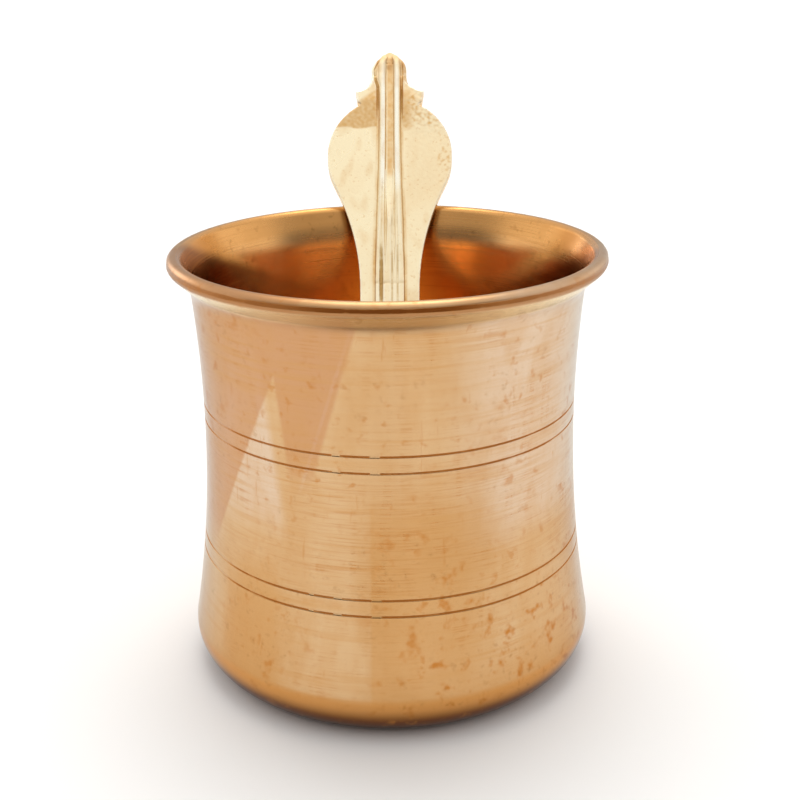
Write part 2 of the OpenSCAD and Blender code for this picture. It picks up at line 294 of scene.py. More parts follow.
# %% Copy, remesh and soften
SPOON_LEAN = 38.012
SPOON_ORIGIN = Vector((0.0, -16.0295, 12.321)) * MM
stand_up = Matrix.Translation(SPOON_ORIGIN) @ Matrix.Rotation(math.radians(90 - SPOON_LEAN), 4, "X")
lay_flat = stand_up.inverted()


def recast(node_name, piece_name, voxel, rounds):
    """A softened copy of a CAD node, lying flat."""
    piece = bpy.data.objects.new(piece_name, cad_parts[node_name].data.copy())
    piece.data.transform(lay_flat)
    piece.data.materials.clear()
    scene.collection.objects.link(piece)
    remesh = piece.modifiers.new("recast", "REMESH")
    remesh.mode = "VOXEL"
    remesh.voxel_size = voxel * MM
    soften = piece.modifiers.new("soften", "SMOOTH")
    soften.iterations = rounds
    shaped = piece.evaluated_get(bpy.context.evaluated_depsgraph_get())
    piece.data = bpy.data.meshes.new_from_object(shaped)
    piece.modifiers.clear()
    piece.data.name = piece_name
    piece.data.shade_smooth()
    print(piece_name, "has", len(piece.data.vertices), "points")
    return piece


HANDLE_VOXEL = 0.12
handle = recast("spoon_handle", "spoon_handle_cast", HANDLE_VOXEL, 4)
bowl = recast("spoon_bowl", "spoon_bowl_raised", 0.2, 4)
rivets = [recast(name, name + "_hammered", 0.09, 5) for name in ("lower_rivet", "upper_rivet")]

# %% [markdown]
# ## Reading and moving points
#
# Shaping by hand in Sculpt Mode can't be repeated, so the points are moved by small functions instead.
# NumPy reads all the points of a mesh at once. The same arrays also give each point's hollow: how far it
# lies below its neighbours. Hollows are darkened, partly as dirt and partly as painted shade, and ridges
# are lightened, partly as polish wear and partly as painted highlight, so both are kept in the mesh as
# weights.

# %% Helpers for points
def points_of(piece):
    """Places and normals of a mesh's points, in metres."""
    count = len(piece.data.vertices)
    places = np.empty(count * 3)
    normals = np.empty(count * 3)
    piece.data.vertices.foreach_get("co", places)
    piece.data.vertex_normals.foreach_get("vector", normals)
    return places.reshape(-1, 3), normals.reshape(-1, 3)


def put_points(piece, places):
    """Writes places back to a mesh."""
    piece.data.vertices.foreach_set("co", places.ravel())
    piece.data.update()


def spread(values, edges, rounds):
    """Averages values with those of the neighbouring points, several times."""
    for _ in range(rounds):
        total = np.zeros_like(values)
        count = np.zeros(len(values))
        for a, b in ((0, 1), (1, 0)):
            np.add.at(total, edges[:, a], values[edges[:, b]])
            np.add.at(count, edges[:, a], 1)
        shape = (-1,) + (1,) * (values.ndim - 1)
        values = 0.5 * values + 0.5 * total / np.maximum(count, 1).reshape(shape)
    return values


def keep_hollows(piece, reach, full, dirt=0.0):
    """Stores how hollow each point lies, where 1 is a hollow of the full depth in mm."""
    places, normals = points_of(piece)
    edges = np.empty(len(piece.data.edges) * 2, dtype=np.int32)
    piece.data.edges.foreach_get("vertices", edges)
    around = spread(places, edges.reshape(-1, 2), reach)
    hollow = np.einsum("ij,ij->i", around - places, normals) / (full * MM)
    keep_weight(piece, "crevice", np.clip(np.maximum(hollow, dirt), 0, 1.3))
    keep_weight(piece, "ridge_wear_and_highlight", np.clip(-hollow, 0, 1))


def smooth_step(values, low, high):
    """Rises smoothly from 0 at low to 1 at high."""
    share = np.clip((values - low) / (high - low), 0, 1)
    return share * share * (3 - 2 * share)


def noise_at(places, scale):
    """A smooth noise at each place, in millimetres times a scale."""
    return np.array([noise.noise(Vector(place) * scale) for place in places / MM])


print("points of the handle to move:", len(points_of(handle)[0]))

# %% [markdown]
# ## Filing the hood
#
# The hood of the handle is not one flat face. Its top swells a little towards the ears, which leaves a soft
# cross line below them, and the faces beside the rib are slightly hollow from the file. The right side of
# the top still shows the lumpy skin of the casting. Only the points of the front face are moved, so the
# outline stays as it is.

# %% Shape the front face
RIB_HALF = 2.7
SWELL_FROM = 97.6
SWELL_SLOPE = 0.085
SWELL_MOST = 0.5


def file_hood(piece):
    """Swells the hood's top, hollows the faces beside the rib and leaves lumps on the right."""
    places, normals = points_of(piece)
    x, y, z = (places / MM).T
    front = smooth_step(normals[:, 2], 0.2, 0.8) * smooth_step(z, 0.9, 1.5)
    beside = smooth_step(np.abs(x), RIB_HALF, RIB_HALF + 0.5)
    crisp = np.clip((y - SWELL_FROM) * SWELL_SLOPE, 0, SWELL_MOST)
    soft = SWELL_MOST * smooth_step(y, SWELL_FROM - 3, SWELL_FROM + 8)
    swell = crisp + (soft - crisp) * smooth_step(x, 2, 5)
    hollow = 0.12 * smooth_step(y, 66, 84) * np.clip(1 - ((np.abs(x) - 7) / 5) ** 2, 0, 1)
    skin = smooth_step(x, 2.5, 6) * smooth_step(y, 91, 97)
    lumps = 0.035 * skin * noise_at(places, 1.5)
    wave = 0.05 * (0.5 + 0.5 * noise_at(places, 0.2))
    raised = beside * (swell - hollow + lumps) - wave
    places[:, 2] += front * raised * MM
    put_points(piece, places)


file_hood(handle)
print("hood swells by up to", SWELL_MOST, "mm")

# %% [markdown]
# ## Chasing the rib
#
# The reeds of the rib were sharpened after casting with a chasing tool, which is driven along the metal
# with a hammer. It leaves fine lines beside the reeds: each is given by its place across the rib, its two
# ends, its half width, its depth and its dirt. The foot of the reeds is filed into a long slope. Last, the
# rib is drawn in towards the tip and the finial is rounded off, as hand work leaves them.

# %% Chase the lines and soften the foot of the reeds
REED_FOOT = 64.3
CHANNEL_FOOT = 87.8
REED_SLOPE = 16.0
CHASED = (
    (-1.5, 52.0, 111.0, 0.3, 0.12, 0.45),
    (-1.5, 46.0, 78.0, 0.42, 0.24, 1.3),
    (0.4, 46.0, 88.0, 0.26, 0.12, 0.5),
    (1.35, 46.0, 86.0, 0.26, 0.12, 0.45),
)
DOME_FROM = 110.3
DOME_LONG = 4.7
LEFT_CHEEK = 0.5


def chased(x, y):
    """How deep the chasing tool went at each point, and how much dirt lies there."""
    dip = np.zeros(len(x))
    dirt = np.zeros(len(x))
    for middle, low, high, half, depth, room in CHASED:
        across = np.clip(1 - ((x - middle) / half) ** 2, 0, 1)
        along = smooth_step(y, low, low + 6) * smooth_step(-y, -high, 12 - high)
        dip = np.maximum(dip, depth * across * along)
        dirt = np.maximum(dirt, room * across * along)
    cross = np.clip(1 - ((y - REED_FOOT) / 0.4) ** 2, 0, 1)
    return np.maximum(dip, 0.04 * cross), np.maximum(dirt, 0.35 * cross)


def chase_rib(piece):
    """Presses the chased lines into the rib and slopes the foot of its reeds."""
    places, _ = points_of(piece)
    x, y, z = (places / MM).T
    front = smooth_step(z, 1.9, 2.2)
    dip, dirt = chased(x, y)
    slope = 2.3 + 0.5 * smooth_step(y, REED_FOOT - 1, REED_FOOT + REED_SLOPE)
    z_new = np.where(z > 1.9, np.minimum(z, np.where(y < REED_FOOT + REED_SLOPE, slope, z)), z)
    floor_z = np.median(z[(np.abs(x) < 0.3) & (y > 95) & (y < 105) & (z > 1.2)])
    run_out = floor_z + (2.8 - floor_z) * smooth_step(-y, -CHANNEL_FOOT - 1, 14 - CHANNEL_FOOT)
    in_channel = 1 - smooth_step(np.abs(x), 0.55, 0.85)
    lowered = np.minimum(z_new, run_out)
    z_new = np.where((z > 1.2) & (y > CHANNEL_FOOT - 15), z_new + in_channel * (lowered - z_new), z_new)
    z_new -= front * dip
    rounded = 2.6 - 0.09 * np.maximum(y - 110.8, 0) ** 2
    at_tip = smooth_step(y, 111.2, 113.4) * smooth_step(z, 1.4, 1.9)
    places[:, 2] = (z_new + at_tip * (np.minimum(rounded, z) - z_new)) * MM
    put_points(piece, places)
    return front * dirt


def rib_width(y):
    """The rib's width along the handle, as a share of its width in the CAD model."""
    return 1.1 - 0.24 * smooth_step(y, 66, 98)


def taper_rib(piece):
    """Narrows the rib towards the tip, widens it towards the cup and rounds the finial."""
    places, _ = points_of(piece)
    x, y, z = (places / MM).T
    lifted = smooth_step(z, 1.2, 1.9) * smooth_step(-np.abs(x), -5.0, -3.0)
    dome = np.sqrt(np.clip(1 - (np.maximum(y - DOME_FROM, 0) / DOME_LONG) ** 2, 0.2, 1))
    cheek = smooth_step(y, 106.0, 108.4) * smooth_step(-y, -112.6, -110.4) * smooth_step(-x, 1.2, 2.4)
    places[:, 0] = (x * (1 + (rib_width(y) - 1) * lifted) * dome - LEFT_CHEEK * cheek) * MM
    put_points(piece, places)


line_dirt = chase_rib(handle)
taper_rib(handle)
keep_hollows(handle, 10, 0.09, line_dirt)
print("chased lines:", len(CHASED))

# %% [markdown]
# ## Tan film and painted shade on the handle
#
# Brass that is polished by hand turns cream where the cloth passes and keeps a tan film where it can't
# press, as in the channel and on the right of the hood. The same tan is painted shade on the top of the
# hood at the left, which slopes away from the light, along the sides of the rib, on the right side of the
# finial and on the side faces of the plate. These places could be painted as vertex colours. Here they are
# soft regions worked out from each point's place, kept in the mesh as a weight called film.

# %% Keep the tan film and painted shade as a weight
def within(values, low, high, soft):
    """1 between two limits, falling softly to 0 outside them."""
    return smooth_step(values, low - soft, low + soft) * (1 - smooth_step(values, high - soft, high + soft))


def keep_film_and_shade(piece):
    """Stores how much tan film and painted shade each point of the handle has."""
    places, normals = points_of(piece)
    x, y, z = (places / MM).T
    patches = np.array([noise.noise(Vector((p[0] * 0.5, p[1] * 0.22, 3.1))) for p in places / MM])
    fine = noise_at(places, 1.6)
    edge = SWELL_FROM + 0.5 * patches
    rib = RIB_HALF * rib_width(y)
    off_rib = np.abs(x) - rib
    left_side, right_side = (smooth_step(off_rib, -0.3, 0.3) * side for side in (x < 0, x > 0))
    left_end = 106.3 - 0.8 * np.clip(off_rib, 0, 4)
    # Painted shade where the top of the hood slopes away from the light on the left.
    left_top_shade = 0.95 * smooth_step(y - edge, -0.3, 0.3) * smooth_step(left_end - y, -0.7, 0.7) * left_side
    right_face = 0.25 * smooth_step(x, 2.0, 4.0) * within(y, 80, 99, 5)
    right_top = (0.42 + 0.9 * fine) * within(y, SWELL_FROM, 105.5, 2.5) * right_side
    near_rib = 0.85 * right_side * smooth_step(off_rib, 3.6, 0.8) * within(y, SWELL_FROM - 0.5, 106, 1.2)
    right_edge = (0.25 + 0.8 * fine) * smooth_step(x, 7, 11) * within(y, 84, 100, 3)
    channel = 0.85 * within(x, -0.5, 0.65, 0.2) * within(y, 87.0, 113.4, 1.2)
    # Painted shade along the sides of the rib.
    rib_side_shade = (0.55 + 0.9 * patches) * within(off_rib, -0.3, 0.35, 0.25)
    ear_roots = 0.4 * within(off_rib, 0.1, 1.6, 0.6) * within(y, 103.5, 108, 0.8)
    # Painted shade on the right side of the finial.
    flank_shade = 0.85 * smooth_step(off_rib, -0.2, 0.3) * smooth_step(y, 106.5, 108) * (x > 0)
    tip = 0.5 * smooth_step(y, 111.0, 113.0)
    facing = smooth_step(normals[:, 2], 0.0, 0.4)
    on_front = [left_top_shade, right_face, right_top, near_rib, right_edge, channel, rib_side_shade, ear_roots, flank_shade]
    # Painted shade on the side faces of the plate.
    edges = 0.6 * (1 - smooth_step(np.abs(normals[:, 2]), 0.5, 0.9)) * smooth_step(y, 60, 70)
    edges *= 1 - smooth_step(y, 104.5, 106.5) * (x < 0)
    clouds = 0.3 * smooth_step(patches, 0.0, 0.5)
    film = np.max([facing * np.max(on_front, axis=0), edges, tip, clouds], axis=0)
    # The tops of the reeds are added to the weight of ridges, which lightens them as painted highlight.
    on_reeds = within(np.abs(x - 0.08), 0.85, 0.75 * rib, 0.25) * smooth_step(z, 2.0, 2.4)
    ridge_wear_and_highlight = np.empty(len(x))
    piece.data.attributes["ridge_wear_and_highlight"].data.foreach_get("value", ridge_wear_and_highlight)
    keep_weight(piece, "ridge_wear_and_highlight", np.maximum(ridge_wear_and_highlight, on_reeds * within(y, 84, 111, 3)))
    keep_weight(piece, "film", np.clip(film * (0.85 + 0.3 * fine), 0, 1))


keep_film_and_shade(handle)
print("film kept on", handle.name)

# %% [markdown]
# ## Planishing the bowl and setting the rivets
#
# The bowl was raised from a flat disc with a round-faced hammer, which leaves shallow overlapping facets,
# and the rivets were closed with a few blows. Both come from a cell pattern that presses each point in by
# a few hundredths of a millimetre, never outwards, so that the piece still fits in its place.

# %% Hammer marks
def hammer(piece, blow, depth):
    """Presses shallow facets into a piece, one for each blow of the given width in mm."""
    places, normals = points_of(piece)
    marks = [1 - min(1.0, noise.voronoi(Vector(place) / blow)[0][0]) for place in places / MM]
    places -= normals * (np.array(marks) * depth * MM)[:, None]
    put_points(piece, places)


hammer(bowl, 3.2, 0.05)
keep_hollows(bowl, 8, 0.05)
for rivet in rivets:
    hammer(rivet, 1.3, 0.06)
    keep_hollows(rivet, 6, 0.05)
for piece in [handle, bowl, *rivets]:
    piece.data.transform(stand_up)
    piece.data.update()
print("spoon pieces stand in the cup again")

# %% [markdown]
# ## Shader node groups
#
# The metals of this object share a few effects: lathe lines, brown specks, a wiped haze, casting grain and
# dirt in crevices. Each one is a node group that is built once and then placed in several materials with
# its own values. A group gives out only a mask or a height, and the material decides what to do with it.
# The helpers below take sockets and plain numbers alike.

# %% Helpers for nodes
def put(tree, source, socket):
    """Gives an input its source: a socket, a number or a colour."""
    if isinstance(source, bpy.types.NodeSocket):
        tree.links.new(source, socket)
    elif socket.type == "RGBA":
        socket.default_value = (*source, 1.0)
    else:
        socket.default_value = source


def node(tree, kind, **values):
    """Adds a node and sets its inputs and properties."""
    made = tree.nodes.new("ShaderNode" + kind)
    for name, value in values.items():
        label = name.replace("_", " ").title()
        if label in made.inputs:
            put(tree, value, made.inputs[label])
        else:
            setattr(made, name, value)
    return made


def math_node(tree, operation, *values, clamp=False):
    """The result of a Math node."""
    made = node(tree, "Math", operation=operation, use_clamp=clamp)
    for socket, value in zip(made.inputs, values):
        put(tree, value, socket)
    return made.outputs[0]


def times(tree, product, *factors):
    """The product of sockets and numbers."""
    for factor in factors:
        product = math_node(tree, "MULTIPLY", product, factor)
    return product


def total(tree, *parts):
    """The sum of sockets, numbers and (socket, factor) pairs."""
    result = None
    for part in parts:
        term = times(tree, *part) if isinstance(part, tuple) else part
        result = term if result is None else math_node(tree, "ADD", result, term)
    return result


def ramp(tree, value, low, high):
    """Rises smoothly from 0 at low to 1 at high."""
    made = node(tree, "MapRange", interpolation_type="SMOOTHSTEP", value=value, from_min=low, from_max=high)
    return made.outputs["Result"]


def noise_node(tree, place, **values):
    """A noise that is read at a place."""
    return node(tree, "TexNoise", vector=place, **values).outputs[0]


def own_place(tree):
    """The object's own coordinates, in metres."""
    return node(tree, "TexCoord").outputs["Object"]


def scaled_place(tree, scale):
    """The object's own coordinates times a scale."""
    return node(tree, "VectorMath", operation="SCALE", vector=own_place(tree), scale=scale).outputs[0]


def split(tree, place):
    """The X, Y and Z of a place."""
    return node(tree, "SeparateXYZ", vector=place).outputs


def new_group(name, **inputs):
    """An empty node group with number inputs, and the sockets that give them."""
    group = bpy.data.node_groups.new(name, "ShaderNodeTree")
    for label, value in inputs.items():
        label = label.replace("_", " ")
        socket = group.interface.new_socket(label, in_out="INPUT", socket_type="NodeSocketFloat")
        socket.default_value = value
    return group, group.nodes.new("NodeGroupInput").outputs


def finished(group, **results):
    """Gives a group its outputs."""
    for label in results:
        group.interface.new_socket(label, in_out="OUTPUT", socket_type="NodeSocketFloat")
    ends = group.nodes.new("NodeGroupOutput")
    for label, source in results.items():
        put(group, source, ends.inputs[label])
    print("built:", group.name)
    return group


print("helpers for nodes are ready")

# %% [markdown]
# ### Lathe lines
#
# When the spinner burnishes the cup, every grain of grit draws a fine stroke round it. Up the wall the
# strokes follow the height, and on the floor the distance from the axis, so the sum of the two changes
# along the whole profile. A noise that is squeezed along that sum and stretched round the cup makes
# strokes with soft ends, and a slow noise lets whole areas of them fade.

# %% Build the lathe lines group
def build_lathe_lines():
    """Fine rings round the Z axis: a height, and a mask of the strongest rings."""
    group, given = new_group("lathe lines", Lines_per_mm=3.0, Strokes_per_metre=120.0, Fading=0.5)
    place = own_place(group)
    x, y, z = split(group, place)
    radius = math_node(group, "SQRT", total(group, (x, x), (y, y)))
    per_metre = times(group, given["Lines per mm"], 1000.0)
    along = times(group, total(group, radius, z), per_metre)
    across = [times(group, axis, given["Strokes per metre"]) for axis in (x, y)]
    drawn = node(group, "CombineXYZ", x=across[0], y=across[1], z=along).outputs[0]
    rings = noise_node(group, drawn, scale=1.0, detail=2.0, roughness=0.6)
    fade = noise_node(group, place, scale=70.0, detail=2.0)
    faded = times(group, ramp(group, fade, 0.35, 0.65), given["Fading"])
    kept = math_node(group, "SUBTRACT", 1.0, faded)
    strong = times(group, ramp(group, rings, 0.46, 0.7), kept)
    return finished(group, Height=times(group, rings, kept), Strong=strong)


lathe_lines = build_lathe_lines()

# %% [markdown]
# ### Specks, haze, grain, and dirt and shade in crevices
#
# Copper spots brown where a drop of water dries on it. The specks are the highest points of a fine noise,
# kept only where a slow noise allows them, so that they come in loose groups. Haze is the cloudy film that
# a cloth leaves. Casting grain is the print of the sand. The crevice group reads the weight that was kept
# in the mesh and breaks it up. In the engraving that is old polish, which never fills the engraving evenly,
# and its gaps are painted glints. On the roll's front line it is painted shade, and in the creases beside
# the rib it is partly dirt and partly painted shade.

# %% Build the other groups
def build_specks():
    """Small brown spots in loose clusters."""
    group, given = new_group("tarnish specks", Per_metre=900.0, Amount=0.5)
    place = scaled_place(group, given["Per metre"])
    fine = noise_node(group, place, scale=1.0, detail=2.0, roughness=0.5)
    slow = noise_node(group, place, scale=0.06, detail=1.0)
    amount = times(group, ramp(group, slow, 0.36, 0.62), given["Amount"])
    return finished(group, Mask=times(group, ramp(group, fine, 0.58, 0.76), amount))


def build_haze():
    """Soft clouds of a wiped film, drawn out along the height."""
    group, given = new_group("wiped haze", Per_metre=40.0)
    place = scaled_place(group, given["Per metre"])
    slant = (0.0, math.radians(18), 0.0)
    drawn = node(group, "Mapping", vector=place, rotation=slant, scale=(1.0, 1.0, 0.4)).outputs[0]
    clouds = noise_node(group, drawn, scale=1.0, detail=5.0, roughness=0.55, distortion=0.6)
    return finished(group, Mask=ramp(group, clouds, 0.36, 0.66))


def build_grain():
    """The print of the moulding sand: a height, and a mask of the deepest pits."""
    group, given = new_group("casting grain", Per_metre=1800.0)
    sand = noise_node(group, scaled_place(group, given["Per metre"]), scale=1.0, detail=4.0, roughness=0.6)
    return finished(group, Height=sand, Pits=ramp(group, sand, 0.42, 0.3))


def build_crevice_dirt_and_shade():
    """Dirt and painted shade where the mesh says that a point lies in a crevice."""
    group, given = new_group("crevice dirt and shade", Start=0.15, Full=0.7)
    weight = node(group, "Attribute", attribute_name="crevice").outputs["Fac"]
    broken = noise_node(group, own_place(group), scale=160.0, detail=5.0, roughness=0.6)
    uneven = math_node(group, "MULTIPLY_ADD", ramp(group, broken, 0.34, 0.6), 0.7, 0.35)
    dirt = ramp(group, times(group, weight, uneven), given["Start"], given["Full"])
    return finished(group, Mask=dirt)


specks, haze, grain, crevice_dirt_and_shade = build_specks(), build_haze(), build_grain(), build_crevice_dirt_and_shade()

# %% [markdown]
# ### Patches and scratches
#
# A patch is a soft-edged area that stands at an angle round the cup, has a width that may taper, and
# covers a stretch of height. The materials use such patches as painted reflections and painted highlights
# on the outside of the cup, as patches of tone round its back, and as painted shade at the ends of the
# mouth. Scratches are a noise that is drawn out along one direction, so that only thin strokes of it rise
# above the limit.

# %% Build the patch and scratch groups
PATCH_INPUTS = {
    "Turn": 0.0,
    "Half width": 12.0,
    "Taper": 0.0,
    "Lean": 0.0,
    "Middle": 40.0,
    "Half height": 20.0,
    "Left softness": 3.0,
    "Right softness": 3.0,
}
PATCH_FADE = 9.0


def build_soft_patch():
    """A soft patch at a turn in degrees round the cup, 0 in front, and a height in mm."""
    group, given = new_group("soft patch", **PATCH_INPUTS)
    x, y, z = split(group, own_place(group))
    turn = math_node(group, "DEGREES", math_node(group, "ARCTAN2", x, times(group, y, -1.0)))
    rise = math_node(group, "SUBTRACT", times(group, z, 1000.0), given["Middle"])
    middle = total(group, given["Turn"], (rise, given["Lean"]))
    aside = math_node(group, "WRAP", math_node(group, "SUBTRACT", turn, middle), 180.0, -180.0)
    half = total(group, given["Half width"], (rise, given["Taper"]))
    left = ramp(group, times(group, aside, -1.0), total(group, half, given["Left softness"]), half)
    right = ramp(group, aside, total(group, half, given["Right softness"]), half)
    tall = given["Half height"]
    along = ramp(group, math_node(group, "ABSOLUTE", rise), total(group, tall, PATCH_FADE), tall)
    return finished(group, Mask=times(group, left, right, along))


def build_scratches():
    """Thin strokes along a slanted direction."""
    group, given = new_group("scratches", Per_metre=1500.0, Slant=0.3, Limit=0.66)
    slant = node(group, "CombineXYZ", y=given["Slant"]).outputs[0]
    place = scaled_place(group, given["Per metre"])
    drawn = node(group, "Mapping", vector=place, rotation=slant, scale=(1.0, 1.0, 0.09)).outputs[0]
    strokes = noise_node(group, drawn, scale=1.0, detail=3.0, roughness=0.6, distortion=0.3)
    limit = given["Limit"]
    return finished(group, Mask=ramp(group, strokes, limit, total(group, limit, 0.06)))


soft_patch, scratches = build_soft_patch(), build_scratches()

# %% [markdown]
# ## Metals
#
# A bare metal in the Principled shader is a Metallic of 1, a base colour that tints every reflection, and
# a roughness that says how sharp the reflections are. The detail of a finish lies in small changes of
# those two and in the bumps. A small helper lays one colour after the other over the first, each by a
# mask, so a material reads as a list: clean metal, then haze, then specks, then dirt.

# %% Helpers for materials
def new_metal(name):
    """A material with a metallic Principled shader, and its node tree."""
    material = bpy.data.materials.new(name)
    material.use_nodes = True
    shader = material.node_tree.nodes["Principled BSDF"]
    shader.inputs["Metallic"].default_value = 1.0
    return material, material.node_tree, shader


def turned_on_lathe(shader, amount):
    """Spreads reflections across the lathe strokes, as fine rings do."""
    shader.inputs["Anisotropic"].default_value = amount
    shader.inputs["Anisotropic Rotation"].default_value = 0.25


def placed(tree, group, **values):
    """Places a node group in a material with its own values."""
    made = tree.nodes.new("ShaderNodeGroup")
    made.node_tree = group
    for name, value in values.items():
        made.inputs[name.replace("_", " ")].default_value = value
    return made.outputs


def layered(tree, tint, *layers):
    """Lays colours over a first one. Each layer is a colour, a mask and a strength."""
    for colour, mask, strength in layers:
        made = node(tree, "Mix", data_type="RGBA")
        put(tree, math_node(tree, "MULTIPLY", mask, strength, clamp=True), made.inputs[0])
        put(tree, tint, made.inputs[6])
        put(tree, colour, made.inputs[7])
        tint = made.outputs[2]
    return tint


def dress(tree, shader, tint, rough, height, depth):
    """Links a metal's colour, its roughness and its bumps, with their depth in metres."""
    put(tree, tint, shader.inputs["Base Color"])
    put(tree, rough, shader.inputs["Roughness"])
    raised = node(tree, "Bump", strength=1.0, distance=depth, height=height)
    put(tree, raised.outputs[0], shader.inputs["Normal"])


def height_of(tree):
    """The height above the table, in metres."""
    return split(tree, own_place(tree))["Z"]


def marked(tree, marks):
    """One mask for each patch of a list."""
    return [placed(tree, soft_patch, **dict(zip(PATCH_INPUTS, mark)))["Mask"] for mark in marks]


def widest(tree, marks):
    """One mask that shows all patches of a list."""
    shown, *others = marked(tree, marks)
    for mask in others:
        shown = math_node(tree, "MAXIMUM", shown, mask)
    return shown


def spared(tree, dirt, marks, share):
    """Takes a share of a mask away where a patch lies."""
    for mask in marked(tree, marks):
        dirt = times(tree, dirt, total(tree, 1.0, (mask, -share)))
    return dirt


print("helpers for materials are ready")

# %% [markdown]
# ### The outside of the cup
#
# Polished copper that has been handled, with fine rings from the lathe. Pale, pink and golden patches are
# painted reflections of the room in front and patches of tone round the back. Brown specks and short
# scratches lie over it and the engraving holds brown polish, broken where painted highlights cross it. A
# pale band under the roll is a painted reflection of the white floor, a brown film and painted shade darken
# the line on the front of the roll, and the foot of the wall turns orange and then brown as painted shade,
# the dark reflection of the shadowed floor. Each zone is a pair of heights in metres: where it starts, and
# where it is full.

# %% Polished copper
COPPER_PALE = (0.66, 0.435, 0.235)
COPPER_PALEST = (0.71, 0.545, 0.40)
COPPER_GOLD = (0.585, 0.305, 0.106)
COPPER_PINK = (0.565, 0.29, 0.142)
COPPER_ORANGE = (0.52, 0.205, 0.045)
# Painted shade at the foot of the wall: the dark reflection of the shadowed floor.
FOOT_SHADE_BROWN = (0.20, 0.062, 0.015)
COPPER_EDGE = (0.78, 0.83, 0.86)
SPECK_BROWN = (0.36, 0.155, 0.04)
# A brown film on the roll that is also painted shade: its band lies on the dark line along the roll's
# front.
RIM_FILM_AND_SHADE = (0.44, 0.205, 0.08)
# Brown polish in the engraving; over the line on the roll's front it is painted shade.
LINE_BROWN = (0.58, 0.225, 0.042)
# Painted reflection of the white floor in the pale band under the roll.
FLARE_REFLECTION = (1.0, 0.72, 0.38)
# Painted shade of the dark line along the front of the roll.
RIM_LINE_SHADE = (0.34, 0.115, 0.022)
# Painted shade at the foot of the wall, lighter and higher up.
FOOT_SHADE_ORANGE = (0.68, 0.32, 0.092)
RINGS_ABOVE, RINGS_BELOW = (0.022, 0.03), (0.053, 0.045)
GOLDEN_BELOW = (0.052, 0.012)
# Heights of the painted shade at the foot.
ORANGE_SHADE_BELOW = (0.0093, 0.0077)
BROWN_SHADE_BELOW = (0.0072, 0.0038)
FLARE_REFLECTION_ABOVE, FLARE_REFLECTION_BELOW = (0.0714, 0.0724), (0.0746, 0.0738)
ROLLED_ABOVE = (0.0737, 0.0745)
ROLL_TOP_ABOVE = (0.0752, 0.0758)
LATHE_DEPTH = 0.000006
# Pale, pink and golden patches on the wall: in front they are painted reflections of the room, round the
# back patches of tone.
PALE_REFLECTIONS = (
    (58, 20, 0.2, 0.1, 57, 17, 26, 10),
    (-44, 8, -0.35, 0.1, 52, 10, 4, 4),
    (-16.2, 0.3, 0, 0.6, 58, 7, 0.5, 0.3),
    (36, -8, 0, 0, 44, 6, 30, 26),
    (200, 18, 0.2, -0.1, 50, 16, 12, 3),
)
PINK_REFLECTIONS = (
    (-22.2, 8.2, 0.37, 0.17, 60, 9, 1.5, 1.5),
    (-64, 26, 0.41, 0.5, 56, 22, 3, 1.5),
    (118, 16, 0.3, -0.2, 52, 16, 3, 8),
    (-150, 22, -0.4, 0.3, 40, 18, 10, 3),
)
GOLD_REFLECTIONS = (
    (7.6, 11.5, 0, 0, 18, 19, 1.2, 18),
    (-40, 6, -0.3, 0.2, 14, 10, 18, 6),
    (40, 18, 0, 0, 7, 2, 16, 12),
    (170, 20, 0.2, -0.3, 36, 20, 3, 16),
)
# Stretches where the dark line colour is taken away: painted highlights where bright streaks of light cross
# the engraving, and the two sides of the roll, where its painted shade line ends.
LINE_HIGHLIGHT_GAPS = (
    (-3, 1.2, 0, 0, 36, 20, 0.4, 0.4),
    (-13.8, 1, 0, 0, 34, 20, 0.4, 0.4),
    (-21.5, 0.6, 0, 0, 22, 8, 0.3, 0.3),
    (-57, -3, 0, 0, 36, 20, 18, 14),
    (141, 1.2, 0, 0, 36, 20, 0.6, 0.6),
    (90, 16, 0, 0, 76, 3, 46, 46),
    (-90, 16, 0, 0, 76, 3, 46, 46),
)
# Wider stretches at the sides of the roll, where half of the painted shade of its line is taken away.
RIM_SHADE_FADES = (
    (90, 60, 0, 0, 76, 3, 20, 20),
    (-90, 64, 0, 0, 76, 3, 20, 20),
)


